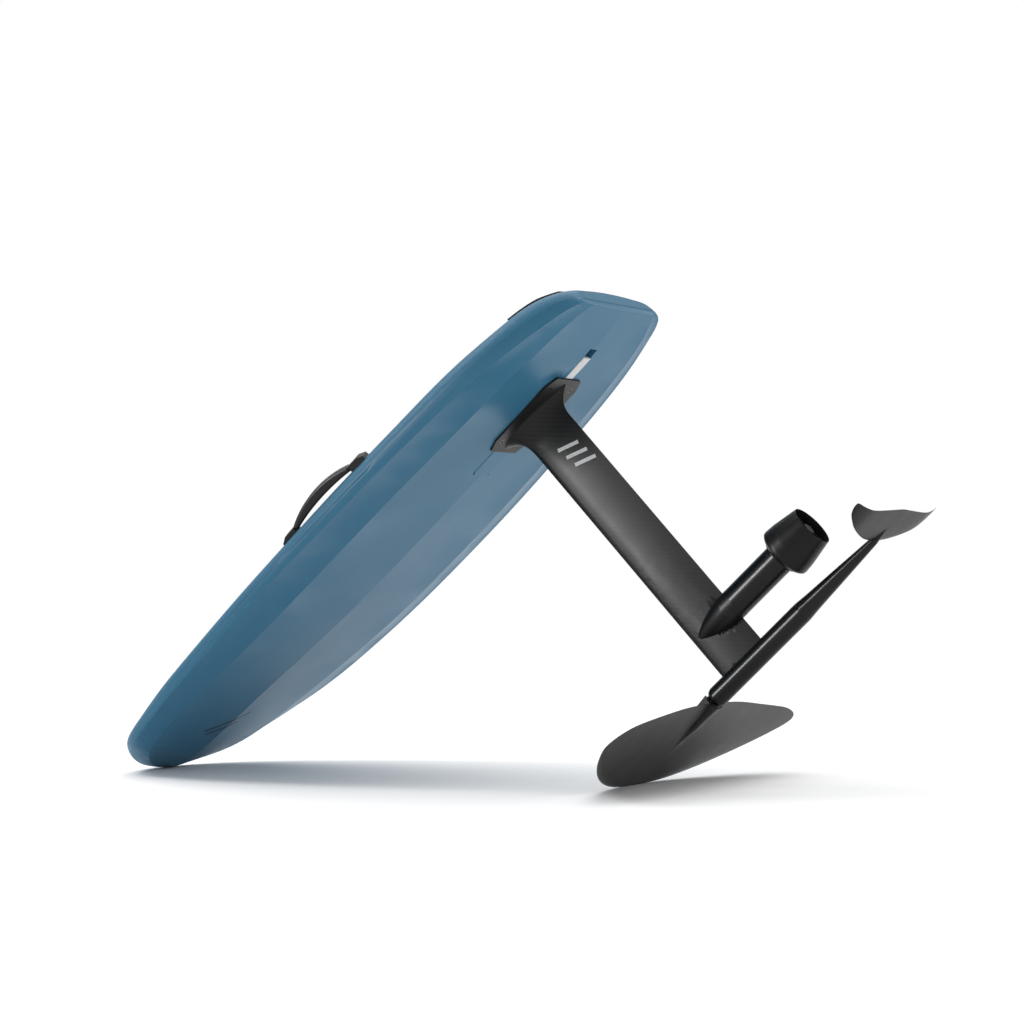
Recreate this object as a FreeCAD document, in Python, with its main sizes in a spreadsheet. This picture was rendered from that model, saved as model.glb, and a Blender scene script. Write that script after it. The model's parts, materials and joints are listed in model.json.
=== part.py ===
"""Electric hydrofoil board: board with battery bay and hatch, mast, motor pod with ducted propeller,
fuselage, front wing and tail wing.

Every piece is drawn in the board frame (X from nose to tail, Y across, Z towards the deck, mast plate at
the origin) and then gets one common placement, which lays the craft down on its nose and front wing.
"""
import FreeCAD, Part
import Sketcher
import math
import os
import re
from FreeCAD import Placement, Rotation, Vector

doc = FreeCAD.newDocument("foil_board")
dims = doc.addObject("Spreadsheet::Sheet", "dims")

# Driving dimensions, millimetres and degrees.
DIMENSIONS = {
    # board
    "nose_x": -1096, "tail_x": 264, "bay_front": -682, "bay_rear": -182, "bay_half": 150, "bay_floor": 25,
    "lid_front": -730, "lid_rear": -150, "lid_half": 176, "lid_thick": 14, "lid_gap": 1.2, "seal_thick": 2.7,
    "pad_thick": 5, "hinge_rise": 2.6, "hinge_r": 3, "pin_r": 1.5, "hinge_half": 60, "knuckle_half": 25,
    "leaf_length": 26, "leaf_thick": 2, "latch_x": -172, "latch_y": 100, "knob_r": 16, "tongue_reach": 34,
    # handles
    "handle_front": -430, "handle_rear": -195, "handle_y": 298, "handle_width": 26, "handle_rise": 16,
    "strap_thick": 10, "gap_rise": 7, "handle_tilt": 27, "anchor_length": 38, "anchor_tall": 9,
    # battery and electronics
    "battery_length": 400, "battery_width": 280, "battery_tall": 51, "case_length": 62, "case_tall": 46,
    # mast plate and its slot
    "plate_half": 97, "plate_end": 47, "plate_mid": 62, "plate_top": -2, "plate_bottom": -10,
    "screw_x": 71, "screw_y": 39, "screw_r": 4, "head_r": 7, "slot_half": 14, "slot_rear": 172,
    "insert_rear": 151, "filler_front": -161, "filler_half": 30, "slot_deep": 8,
    # mast
    "mast_chord": 103, "mast_thick": 15.5, "mast_x": 1.5, "flare_half": 87, "flare_wide": 56, "flare_drop": 66,
    # motor pod, duct and propeller
    "pod_z": -542.5, "pod_r": 29.3, "pod_wall": 3, "pod_tip": -45, "pod_full": 40, "seam_x": 65, "tube_end": 196,
    "duct_front": 181, "duct_wide": 193, "duct_rear": 264.5, "duct_max": 51, "duct_lip": 41,
    "intake_r": 34, "shaft_r": 5, "hub_r": 12, "blade_r": 36.5, "prop_front": 204, "prop_rear": 234,
    "vane_front": 238, "vane_rear": 257, "bearing_r": 13, "seat_gap": 0.05,
    # fuselage
    "fuse_z": -642.5, "fuse_r": 19.8, "fuse_front": -95, "fuse_seam": 145, "boom_end": 371, "boom_r": 9.5,
    # wings
    "front_span": 800, "tail_span": 396, "front_drop": 25, "tail_rise": 12,
}
for row, (alias, number) in enumerate(DIMENSIONS.items(), start=1):
    dims.set("A%d" % row, alias)
    dims.set("B%d" % row, str(number))
    dims.setAlias("B%d" % row, alias)
doc.recompute()


def bound(expression):
    """Point each dimension's name in an expression at its cell of the sheet."""
    return re.sub(r"[a-z]\w*", lambda m: "dims." + m.group() if m.group() in DIMENSIONS else m.group(), expression)


def size(expression):
    """Value of an expression of sheet dimensions."""
    return float(dims.evalExpression(bound(expression)))


pieces = {}          # label: (object, placement in the board frame)


def keep(label, thing, at=Placement()):
    thing.Label = label
    pieces[label] = (thing, at)
    return thing


def formed(label, shape):
    """A free-form piece, made from the sheet's sizes with Part's own functions."""
    thing = doc.addObject("Part::Feature", label)
    thing.Shape = shape
    return keep(label, thing, shape.Placement)


def new_sketch(body, role, points):
    """Closed outline whose corners are bound to the sheet; points are pairs of expressions."""
    plane = [o for o in body.Origin.OriginFeatures if o.Role == role][0]
    sketch = body.newObject("Sketcher::SketchObject", body.Name + "_outline")
    sketch.AttachmentSupport = [(plane, "")]
    sketch.MapMode = "FlatFace"
    corners = [Vector(size(u), size(v), 0) for u, v in points]
    count = len(corners)
    for i in range(count):
        sketch.addGeometry(Part.LineSegment(corners[i], corners[(i + 1) % count]), False)
    for i in range(count):
        sketch.addConstraint(Sketcher.Constraint("Coincident", i, 2, (i + 1) % count, 1))
    for i, (u, v) in enumerate(points):
        for kind, text, number in (("DistanceX", u, corners[i].x), ("DistanceY", v, corners[i].y)):
            index = sketch.addConstraint(Sketcher.Constraint(kind, -1, 1, i, 1, number))
            sketch.setExpression("Constraints[%d]" % index, bound(text))
    return sketch


def turned(label, height, profile):
    """A piece turned about an axis along X at the given height; profile is (along, radius) pairs."""
    body = doc.addObject("PartDesign::Body", label + "_body")
    sketch = new_sketch(body, "XZ_Plane", profile)
    doc.recompute()
    feature = body.newObject("PartDesign::Revolution", label + "_turn")
    feature.Profile = sketch
    feature.ReferenceAxis = (sketch, ["H_Axis"])
    feature.Angle = 360
    sketch.Visibility = False
    return keep(label, body, Placement(Vector(0, 0, size(height)), Rotation()))


def padded(label, outline, bottom, thickness):
    """A flat piece: an outline in the XY plane, padded upwards from a height."""
    body = doc.addObject("PartDesign::Body", label + "_body")
    sketch = new_sketch(body, "XY_Plane", outline)
    doc.recompute()
    feature = body.newObject("PartDesign::Pad", label + "_pad")
    feature.Profile = sketch
    feature.Length = size(thickness)
    feature.setExpression("Length", bound(thickness))
    return keep(label, body, Placement(Vector(0, 0, size(bottom)), Rotation()))


def block(label, low, lengths):
    """A rectangular piece from a low corner and three lengths, all expressions."""
    box = doc.addObject("Part::Box", label + "_box")
    for name, text in zip(("Length", "Width", "Height"), lengths):
        box.setExpression(name, bound(text))
    return keep(label, box, Placement(Vector(*[size(text) for text in low]), Rotation()))


def cuboid(x0, x1, y0, y1, z0, z1):
    return Part.makeBox(x1 - x0, y1 - y0, z1 - z0, Vector(x0, y0, z0))


def drum(radius, height, x, y, z):
    return Part.makeCylinder(radius, height, Vector(x, y, z))


def bar(radius, length, x, y, z):
    """A round bar along X."""
    return Part.makeCylinder(radius, length, Vector(x, y, z), Vector(1, 0, 0))


def ramp(stations, values):
    """Smooth curve through a few points that never overshoots them (monotone cubic)."""
    steps = [(b - a) for a, b in zip(stations, stations[1:])]
    slopes = [(b - a) / step for a, b, step in zip(values, values[1:], steps)]
    tangents = [slopes[0]]
    for left, right in zip(slopes, slopes[1:]):
        tangents.append(0.0 if left * right <= 0 else 2 * left * right / (left + right))
    tangents.append(slopes[-1])

    def at(x):
        x = min(max(x, stations[0]), stations[-1])
        i = max(k for k in range(len(steps)) if stations[k] <= x)
        step = steps[i]
        u = (x - stations[i]) / step
        rise = (values[i] * (1 + 2 * u) + tangents[i] * step * u) * (1 - u) ** 2
        return rise + (values[i + 1] * (3 - 2 * u) - tangents[i + 1] * step * (1 - u)) * u ** 2
    return at


def spline(points):
    curve = Part.BSplineCurve()
    curve.interpolate([Vector(*p) for p in points])
    return curve.toShape()


def edge(a, b):
    return Part.makeLine(Vector(*a), Vector(*b))


# ---- Board shape: a V-shaped bottom with two chines a side, round rails and a crowned deck ----
NOSE, TAIL = size("nose_x"), size("tail_x")
keel = ramp([NOSE, -1088, -1064, -1020, -900, -800, -600, -300, 0, 150, TAIL],
            [69, 62, 47, 37, 25, 19, 2, -7, -8, -6, 3])
chine_half = ramp([NOSE, -1090, -1072, -1036, -1000, -900, -800, -650, -500, -300, -100, 0, 100, 200, 240, 258, TAIL],
                  [22, 57, 107, 166, 207, 257, 289, 311, 322, 317, 299, 284, 258, 213, 188, 166, 134])
chine_z = ramp([NOSE, -1072, -1036, -1000, -900, -800, -650, -500, -300, 0, 200, TAIL],
               [73, 71, 68, 61.5, 48.5, 38.5, 30, 25, 20, 16, 11, 9])
inner_half = ramp([NOSE, -1090, -1072, -1036, -1000, -900, -800, -650, -500, -300, 0, 200, 240, 258, TAIL],
                  [10, 38, 72, 128, 163, 199, 212, 224, 230, 228, 206, 165, 145, 130, 108])
inner_z = ramp([NOSE, -1088, -1064, -1020, -900, -800, -600, -300, 0, 150, TAIL],
               [71, 67, 58.5, 49, 37.5, 28, 10, 1, -2, -1, 5])
rail_tall = ramp([NOSE, -1000, -900, -800, -650, -500, -300, -100, 100, 200, 250, TAIL],
                 [16, 23, 27, 31, 34, 37, 43, 48, 55, 56, 42, 34])
crown = ramp([NOSE, -1000, -700, -200, 150, TAIL], [4, 28, 46, 46, 20, 6])
PARTING = 0.38       # height of the widest line, as a share of the rail's height
BOND = 0.3           # bond line between hull and deck


def rail_out(x):
    return min(8.0, 0.12 * chine_half(x) + 1)


def widest(x):
    return chine_half(x) + rail_out(x), chine_z(x) + PARTING * rail_tall(x)


def deck_edge(x):
    half, _ = widest(x)
    return half - min(34.0, 0.5 * chine_half(x) + 1), chine_z(x) + rail_tall(x)


def deck_z(x, y):
    half, height = deck_edge(x)
    return height + crown(x) * (1 - min(abs(y) / half, 1) ** 2)


def hull_section(x):
    half, height = widest(x)
    chine, inner = (x, chine_half(x), chine_z(x)), (x, inner_half(x), inner_z(x))
    bend = (x, chine_half(x) + 0.72 * rail_out(x), chine_z(x) + 0.42 * (height - chine_z(x)))
    right = [edge((x, 0, keel(x)), inner), edge(inner, chine), spline([chine, bend, (x, half, height)])]
    mirror = [e.mirror(Vector(0, 0, 0), Vector(0, 1, 0)) for e in right]
    across = edge((x, half, height), (x, -half, height))
    return Part.Wire(Part.__sortEdges__(right + [across] + mirror))


def deck_section(x, lift):
    half, height = widest(x)
    shoulder, top = deck_edge(x)
    points = [(half, height + lift)]
    for share in (0.3, 0.62, 0.86):
        turn = share * math.pi / 2
        points.append((shoulder + (half - shoulder) * math.cos(turn), height + (top - height) * math.sin(turn)))
    points += [(shoulder * share, deck_z(x, shoulder * share)) for share in (0.9, 0.6, 0.3)]
    over = [(x, y, z) for y, z in points] + [(x, 0, deck_z(x, 0))] + [(x, -y, z) for y, z in reversed(points)]
    return Part.Wire([spline(over), edge(over[-1], over[0])])


stations = [NOSE, -1091, -1080, -1062, -1036, -1000, -930, -840, -720, -580, -420, -250, -100, 30, 130, 200, 236,
            254, TAIL]
hull_solid = Part.makeLoft([hull_section(x) for x in stations], True, False)
deck_solid = Part.makeLoft([deck_section(x, BOND) for x in stations], True, False)


def sunk(depth):
    """The deck's solid moved down, to cut skins of even thickness under its surface."""
    return deck_solid.translated(Vector(0, 0, -depth))


LID = [size(n) for n in ("lid_front", "lid_rear", "lid_half", "lid_thick", "lid_gap")]
lid_front, lid_rear, lid_half, lid_thick, lid_gap = LID
seal_thick = size("seal_thick")
bay = cuboid(size("bay_front"), size("bay_rear"), -size("bay_half"), size("bay_half"), size("bay_floor"), 200)
ledge = lid_thick + seal_thick + 0.3
opening = deck_solid.common(cuboid(lid_front - lid_gap, lid_rear + lid_gap, -lid_half - lid_gap,
                                   lid_half + lid_gap, 0, 200)).cut(sunk(ledge))

# Latch pockets: a tongue turns out of the lid into the deck behind it.
latch_x, latch_y, reach = size("latch_x"), size("latch_y"), size("tongue_reach")
latch_top = deck_z(latch_x, latch_y) - 0.6
pockets = [drum(reach + 1, 4.4, latch_x, side * latch_y, latch_top - 10.8) for side in (1, -1)]

# Hinge line ahead of the lid, a little above the deck.
hinge_x = lid_front - 2
hinge_top = deck_z(hinge_x, size("hinge_half"))
hinge_z = hinge_top + size("hinge_rise")
knuckle, hinge_half, leaf_thick = size("knuckle_half"), size("hinge_half"), size("leaf_thick")
leaf_low = hinge_top - leaf_thick
hinge_r, pin_r = size("hinge_r"), size("pin_r")
leaf_end = hinge_x - size("leaf_length")
deck_leaf_room = cuboid(leaf_end - 0.3, hinge_x + 5, -hinge_half - 0.3, hinge_half + 0.3, leaf_low - 0.2, 200)

# Mast slot and plate recess in the bottom.
slot_deep = size("slot_deep")
slot_roof = size("plate_bottom") + slot_deep
recess = cuboid(size("filler_front") - 0.5, size("slot_rear"), -size("slot_half"), size("slot_half"), -60, slot_roof)
hollow = cuboid(size("insert_rear + 0.5"), size("slot_rear"), -size("slot_half"), size("slot_half"), -60, 22)
filler_room = cuboid(size("filler_front") - 0.5, -40, -size("filler_half") - 0.5, size("filler_half") + 0.5,
                     -60, -3.6)
plate_half, plate_end, plate_mid = size("plate_half"), size("plate_end"), size("plate_mid")


def plate_outline(grow):
    half, end, mid = plate_half + grow, plate_end + grow, plate_mid + grow
    return [(half, -end), (half, end), (half - 26, mid), (26 - half, mid), (-half, end), (-half, -end),
            (26 - half, -mid), (half - 26, -mid)]


def prism(outline, low, high):
    points = [Vector(x, y, low) for x, y in outline]
    return Part.Face(Part.makePolygon(points + points[:1])).extrude(Vector(0, 0, high - low))


plate_room = prism(plate_outline(0.4), -60, size("plate_top"))
corners = [(sx * size("screw_x"), sy * size("screw_y")) for sx in (-1, 1) for sy in (-1, 1)]
barrels = [drum(8, 30, x, y, size("plate_top") - 1) for x, y in corners]

hull = hull_solid.cut(bay).cut(recess).cut(hollow).cut(filler_room).cut(plate_room).cut(Part.makeCompound(barrels))
formed("board_hull", hull.removeSplitter())

# Deck fittings: footstrap inserts, leash cup and vent.
insert_spots = [(x, side * 110) for x in (-60, 60) for side in (1, -1)]
insert_deep, insert_r = 18, 6
leash_x, leash_r, leash_deep = 196, 15, 15
vent_x, vent_r = -800, 8
inserts_room = [drum(insert_r, insert_deep + 40, x, y, deck_z(x, y) - insert_deep) for x, y in insert_spots]
leash_z = deck_z(leash_x, leash_r)
vent_z = deck_z(vent_x, vent_r)
leash_room = drum(leash_r, 60, leash_x, 0, leash_z - leash_deep)
vent_room = drum(vent_r, 60, vent_x, 0, vent_z - 10)

deck = deck_solid.cut(opening).cut(bay).cut(deck_leaf_room)
deck = deck.cut(Part.makeCompound(pockets + inserts_room + [leash_room, vent_room]))
formed("board_deck", deck)

# ---- Battery bay: seal, lid, hinge and latches ----
inner_ring = cuboid(size("bay_front") - 7, size("bay_rear") + 7, -size("bay_half") - 7, size("bay_half") + 7, 0, 200)
outer_ring = cuboid(size("bay_front") - 17, size("bay_rear") + 17, -size("bay_half") - 17, size("bay_half") + 17,
                    0, 200)
seal = outer_ring.cut(inner_ring).common(sunk(ledge - seal_thick)).cut(sunk(ledge - 0.05))
formed("hatch_seal", seal)

knob_r = size("knob_r")
lid = deck_solid.common(cuboid(lid_front, lid_rear, -lid_half, lid_half, 0, 200)).cut(sunk(lid_thick))
lid_leaf_room = cuboid(lid_front - 1, hinge_x + size("leaf_length") + 0.1, -knuckle - 0.1, knuckle + 0.1,
                       leaf_low - 0.1, 200)
lid_leaf_sides = cuboid(lid_front - 1, hinge_x + hinge_r + 1.5, -hinge_half - 1, hinge_half + 1, leaf_low - 0.1, 200)
wells = [drum(knob_r + 0.6, 30, latch_x, side * latch_y, latch_top - 7.2) for side in (1, -1)]
lid = lid.cut(lid_leaf_room).cut(lid_leaf_sides).cut(Part.makeCompound(pockets)).cut(Part.makeCompound(wells))
formed("hatch_lid", lid)

for side, name in ((1, "right"), (-1, "left")):
    y = side * latch_y
    knob = drum(knob_r, 5.6, latch_x, y, latch_top - 6)
    grip = cuboid(latch_x - 12, latch_x + 12, y - 3, y + 3, latch_top - 1, latch_top + 2.6)
    spindle = drum(5, 6, latch_x, y, latch_top - 10.2)
    tongue = cuboid(latch_x - 6, latch_x + reach, y - 6, y + 6, latch_top - 10.2, latch_top - 7.2)
    formed("latch_" + name, knob.fuse([grip, spindle, tongue]).removeSplitter())


def knuckles(spans, leaf):
    barrels = [Part.makeCylinder(hinge_r, b - a, Vector(hinge_x, a, hinge_z), Vector(0, 1, 0)) for a, b in spans]
    drill = Part.makeCylinder(pin_r + 0.05, 3 * hinge_half, Vector(hinge_x, -1.5 * hinge_half, hinge_z), Vector(0, 1, 0))
    return leaf.fuse(barrels).cut(drill).removeSplitter()


lid_leaf = cuboid(hinge_x, hinge_x + size("leaf_length"), -knuckle, knuckle, leaf_low, hinge_z)
lid_leaf = lid_leaf.cut(cuboid(hinge_x + hinge_r - 0.5, 0, -100, 100, hinge_top + 0.4, 200))
formed("hatch_hinge_leaf", knuckles([(-knuckle, knuckle)], lid_leaf))
deck_leaf = cuboid(leaf_end, hinge_x, -hinge_half, hinge_half, leaf_low, hinge_z)
deck_leaf = deck_leaf.cut(cuboid(-900, hinge_x - hinge_r + 0.5, -100, 100, hinge_top + 0.4, 200))
deck_leaf = deck_leaf.cut(cuboid(hinge_x - hinge_r - 1, hinge_x + 9, -knuckle - 0.4, knuckle + 0.4, 0, 200))
spans = [(knuckle + 0.4, hinge_half), (-hinge_half, -knuckle - 0.4)]
formed("deck_hinge_leaf", knuckles(spans, deck_leaf))
formed("hatch_hinge_pin", Part.makeCylinder(pin_r, 2 * hinge_half, Vector(hinge_x, -hinge_half, hinge_z), Vector(0, 1, 0)))

block("battery_pack", ("bay_front + 14", "-battery_width / 2", "bay_floor + 1"),
      ("battery_length", "battery_width", "battery_tall"))
battery_top = size("bay_floor + 1 + battery_tall")
grip_x = size("bay_front + 14 + battery_length / 2")
loop = cuboid(grip_x - 60, grip_x + 60, -11, 11, battery_top, battery_top + 9)
formed("battery_handle", loop.cut(cuboid(grip_x - 48, grip_x + 48, -20, 20, battery_top - 1, battery_top + 5)))
block("motor_controller", ("bay_rear - 8 - case_length", "-battery_width / 3", "bay_floor + 1"),
      ("case_length", "battery_width / 1.5", "case_tall"))
block("power_connector", ("bay_front + 14 + battery_length + 1", "-18", "bay_floor + 20"), ("13", "36", "24"))

# ---- Deck pads: foam sheets bonded on the deck ----
pad_thick = size("pad_thick")


def deck_skin(region, low=0.0, high=pad_thick):
    return sunk(-high).common(region).cut(sunk(-low))


formed("hatch_pad", deck_skin(cuboid(lid_front + 40, lid_rear - 62, -150, 150, 0, 300)))
formed("deck_pad_front", deck_skin(cuboid(-985, -825, -150, 150, 0, 300)))
holes = Part.makeCompound([drum(insert_r + 1.5, 100, x, y, 40) for x, y in insert_spots])
rear_outline = [(-128, -240), (132, -204), (132, 204), (-128, 240)]
formed("deck_pad_rear", deck_skin(prism(rear_outline, 0, 300)).cut(holes))
for side, name in ((1, "right"), (-1, "left")):
    low, high = sorted((side * 190, side * 252))
    formed("deck_pad_" + name, deck_skin(cuboid(-700, -150, low, high, 0, 300)))
kick_outline = [(146, -196), (205, -166), (236, -136), (236, 136), (205, 166), (146, 196)]
kick = deck_skin(prism(kick_outline, 0, 300), 0.0, 9)
slope = Part.Face(Part.makePolygon([Vector(x, -300, z) for x, z in ((130, 95), (224, 88), (240, 88), (240, 160),
                                                                    (130, 160), (130, 95))]))
kick = kick.cut(slope.extrude(Vector(0, 600, 0))).cut(drum(leash_r + 4, 100, leash_x, 0, 40))
formed("tail_kick_pad", kick)

# ---- Carry handles: padded straps that lean with the rail, each held by two screwed anchors ----
front, rear, rise, gap_rise = size("handle_front"), size("handle_rear"), size("handle_rise"), size("gap_rise")
handle_y, handle_width, strap_thick = size("handle_y"), size("handle_width"), size("strap_thick")
anchor_length, anchor_tall, handle_tilt = size("anchor_length"), size("anchor_tall"), size("handle_tilt")
middle, half_length = (front + rear) / 2, (rear - front) / 2 - anchor_length


def rail_z(x, y):
    """Height of the rounded rail outside the deck's edge."""
    half, height = widest(x)
    shoulder, top = deck_edge(x)
    share = min(max((abs(y) - shoulder) / (half - shoulder), 0), 1)
    return height + (top - height) * math.sqrt(1 - share ** 2)


handle_foot = max(rail_z(x, handle_y) for x in (front, middle, rear)) + 3.5


def leaned(shape, side):
    """Lay a piece drawn level at the origin on the rail of one side."""
    leaning = shape.rotated(Vector(), Vector(1, 0, 0), -side * handle_tilt)
    return leaning.translated(Vector(0, side * handle_y, handle_foot))


arch = [Vector(middle + half_length * u, -handle_width / 2, strap_thick + rise * (1 - u * u)) for u in (-1, 0, 1)]
under = [Vector(middle + half_length * u, -handle_width / 2, gap_rise * (1 - u * u)) for u in (-1, 0, 1)]
rim = Part.Wire([Part.Arc(*arch).toShape(), Part.makeLine(arch[2], under[2]), Part.Arc(*under[::-1]).toShape(),
                 Part.makeLine(under[0], arch[0])])
grip = Part.Face(rim).extrude(Vector(0, handle_width, 0))
anchors, screws = [], []
for side, name in ((1, "right"), (-1, "left")):
    formed("carry_handle_" + name, leaned(grip, side))
    for tip, way in ((front, 1), (rear, -1)):
        heel = tip + way * (anchor_length - 0.5)
        side_view = [Vector(x, -handle_width / 2 - 1, z)
                     for x, z in ((tip, -8), (tip, 2.5), (tip + way * 13, anchor_tall), (heel, anchor_tall), (heel, -8))]
        base = Part.Face(Part.makePolygon(side_view + side_view[:1])).extrude(Vector(0, handle_width + 2, 0))
        bolt_x = tip + way * 0.6 * anchor_length
        bolt = drum(2.5, anchor_tall - 2, bolt_x, 0, 0).fuse(drum(4.5, 2.5, bolt_x, 0, anchor_tall - 2))
        anchors.append(leaned(base.cut(bolt), side).cut(sunk(-0.1)))
        screws.append(leaned(bolt, side))
formed("handle_anchors", Part.makeCompound(anchors))
formed("handle_screws", Part.makeCompound(screws))

# ---- Deck fittings ----
bushes = [drum(insert_r - 0.05, insert_deep - 0.6, x, y, deck_z(x, y) - insert_deep + 0.05)
          .cut(drum(2.5, 40, x, y, deck_z(x, y) - insert_deep + 1.6)) for x, y in insert_spots]
formed("strap_inserts", Part.makeCompound(bushes))
cup = drum(leash_r - 0.05, leash_deep, leash_x, 0, leash_z - leash_deep + 0.05)
cup = cup.cut(drum(leash_r - 3, 40, leash_x, 0, leash_z - leash_deep + 3))
bar_half = leash_r - 3.3
leash_bar = Part.makeCylinder(2.5, 2 * bar_half, Vector(leash_x, -bar_half, leash_z - 4), Vector(0, 1, 0))
formed("leash_cup", cup)
formed("leash_bar", leash_bar)
formed("vent_plug", drum(vent_r - 0.05, 10.5, vent_x, 0, vent_z - 9.9).cut(cuboid(vent_x - 5, vent_x + 5, -0.8, 0.8,
                                                                               vent_z - 1, 200)))

# ---- Mast plate, its screws and the slot ----
plate = prism(plate_outline(0), size("plate_bottom"), size("plate_top"))
plate = plate.makeFillet(5, [e for e in plate.Edges if abs(e.BoundBox.ZLength - 8) < 0.01])
shanks = Part.makeCompound([drum(size("screw_r") + 0.2, 30, x, y, -20) for x, y in corners]
                           + [drum(size("head_r") + 0.3, 10, x, y, size("plate_bottom") - 6.2) for x, y in corners])
formed("mast_plate", plate.cut(shanks))
bolts = []
for x, y in corners:
    head = drum(size("head_r"), 3.5, x, y, size("plate_bottom") + 0.2)
    socket = drum(2.5, 3, x, y, size("plate_bottom") - 0.5)
    bolts.append(head.fuse(drum(size("screw_r"), 26, x, y, size("plate_bottom") + 0.2)).cut(socket))
formed("plate_screws", Part.makeCompound(bolts))
bushes = [drum(7.9, 28, x, y, size("plate_top") + 0.1).cut(drum(size("screw_r") + 0.05, 60, x, y, -20))
          for x, y in corners]
formed("mast_inserts", Part.makeCompound(bushes))
block("slot_insert", ("plate_half + 1", "-slot_half + 0.3", "plate_bottom + 3"),
      ("insert_rear - plate_half - 1", "2 * slot_half - 0.6", "slot_deep - 3.2"))
padded("slot_filler", [("filler_front", "-filler_half + 6"), ("filler_front + 6", "-filler_half"),
                       ("-plate_half - 1", "-filler_half"), ("-plate_half - 1", "filler_half"),
                       ("filler_front + 6", "filler_half"), ("filler_front", "filler_half - 6")],
       "plate_bottom + 2.2", "4")

# ---- Mast: a symmetric foil section that flares into the plate ----
fuse_top = size("fuse_z + fuse_r")


def foil_outline(chord, thick, steps=9):
    """Upper half of a symmetric section, from leading edge to trailing edge, with a 1% blunt tail."""
    rows = []
    for i in range(steps + 1):
        u = 0.5 * (1 - math.cos(math.pi * i / steps))
        half = 5 * thick * (0.2969 * math.sqrt(u) - 0.126 * u - 0.3516 * u ** 2 + 0.2843 * u ** 3 - 0.1015 * u ** 4)
        rows.append((chord * u, half + 0.01 * thick * u))
    return rows


def foil_wire(nose_x, chord, thick, z):
    top = [(nose_x + u, v, z) for u, v in foil_outline(chord, thick)]
    bottom = [(x, -y, zz) for x, y, zz in reversed(top[1:])]
    return Part.Wire([spline(bottom + top), edge(top[-1], bottom[0])])


mast_chord, mast_thick, mast_x = size("mast_chord"), size("mast_thick"), size("mast_x")
flare_half, flare_wide, flare_drop = size("flare_half"), size("flare_wide"), size("flare_drop")
flare = []
for share in (1.0, 0.86, 0.62, 0.38, 0.16, 0.0):
    z = size("plate_bottom") - 0.1 - flare_drop * share
    chord = mast_chord + (2 * flare_half - mast_chord) * (1 - share) ** 4
    thick = mast_thick + (flare_wide - mast_thick) * (1 - share) ** 2.4
    flare.append(foil_wire(mast_x * share - chord / 2, chord, thick, z))
blade = [foil_wire(mast_x - mast_chord / 2, mast_chord, mast_thick, z) for z in (fuse_top - 8, -350)]
mast_low = Part.makeLoft([blade[0], blade[1], flare[0]], True, True)
mast_root = Part.makeLoft(flare, True, False)
mast = mast_low.fuse(mast_root).removeSplitter()
pod_z, pod_r = size("pod_z"), size("pod_r")
ogive = spline([(size("pod_tip"), 0, 0), (size("pod_tip") + 16, 0, 9.5), (-2, 0, 20.5), (size("pod_full"), 0, pod_r)])
ogive = Part.Wire([ogive, edge((size("pod_full"), 0, pod_r), (size("seam_x"), 0, pod_r)),
                   edge((size("seam_x"), 0, pod_r), (size("seam_x"), 0, 0)),
                   edge((size("seam_x"), 0, 0), (size("pod_tip"), 0, 0))])
pod_solid = Part.Face(ogive).revolve(Vector(), Vector(1, 0, 0), 360).translated(Vector(0, 0, pod_z))
bore_front = size("pod_full") - 14
motor_bore = bar(pod_r - size("pod_wall"), size("seam_x") + 10 - bore_front, bore_front, 0, pod_z)
cable_bore = drum(4.2, 540, mast_x + 4, 0, pod_z)
formed("mast_blade", mast.cut(pod_solid).cut(cable_bore))
formed("power_cable", drum(4, -pod_z - 34, mast_x + 4, 0, pod_z + 22))
shell = pod_solid.cut(motor_bore).cut(drum(4.2, 60, mast_x + 4, 0, pod_z))
for side, name in ((1, "right"), (-1, "left")):
    low, high = sorted((side * 0.05, side * 60))
    formed("pod_fairing_" + name, shell.common(cuboid(-60, size("seam_x") - 0.2, low, high, pod_z - 60, pod_z + 60)))

# ---- Motor, shaft and ducted propeller, turned about the pod's axis ----
turned("motor_housing", "pod_z", [("seam_x", "pod_r - pod_wall"), ("seam_x", "pod_r"), ("tube_end", "pod_r"),
                                  ("tube_end", "bearing_r"), ("tube_end - 12", "bearing_r"),
                                  ("tube_end - 12", "pod_r - pod_wall")])
turned("motor_stator", "pod_z", [("seam_x + 14", "17.5"), ("seam_x + 14", "pod_r - pod_wall - 0.1"),
                                 ("tube_end - 30", "pod_r - pod_wall - 0.1"), ("tube_end - 30", "17.5")])
turned("motor_rotor", "pod_z", [("seam_x + 16", "shaft_r"), ("seam_x + 16", "16.6"), ("tube_end - 32", "16.6"),
                                ("tube_end - 32", "shaft_r")])
turned("motor_end_cap", "pod_z", [("seam_x - 6", "bearing_r"), ("seam_x - 6", "pod_r - pod_wall - 0.1"),
                                  ("seam_x + 6", "pod_r - pod_wall - 0.1"), ("seam_x + 6", "bearing_r")])
turned("front_bearing", "pod_z", [("seam_x - 4", "shaft_r + seat_gap"), ("seam_x - 4", "bearing_r - 0.02"),
                                  ("seam_x + 5", "bearing_r - 0.02"), ("seam_x + 5", "shaft_r + seat_gap")])
turned("rear_bearing", "pod_z", [("tube_end - 11", "shaft_r + seat_gap"), ("tube_end - 11", "bearing_r - 0.02"),
                                 ("tube_end - 4", "bearing_r - 0.02"), ("tube_end - 4", "shaft_r + seat_gap")])
turned("shaft_seal", "pod_z", [("tube_end - 3.5", "shaft_r + seat_gap"), ("tube_end - 3.5", "bearing_r - 0.02"),
                               ("tube_end - 0.5", "bearing_r - 0.02"), ("tube_end - 0.5", "shaft_r + seat_gap")])
turned("drive_shaft", "pod_z", [("seam_x - 5", "0"), ("seam_x - 5", "shaft_r"), ("prop_rear + 2", "shaft_r"),
                                ("prop_rear + 2", "0")])

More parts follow.
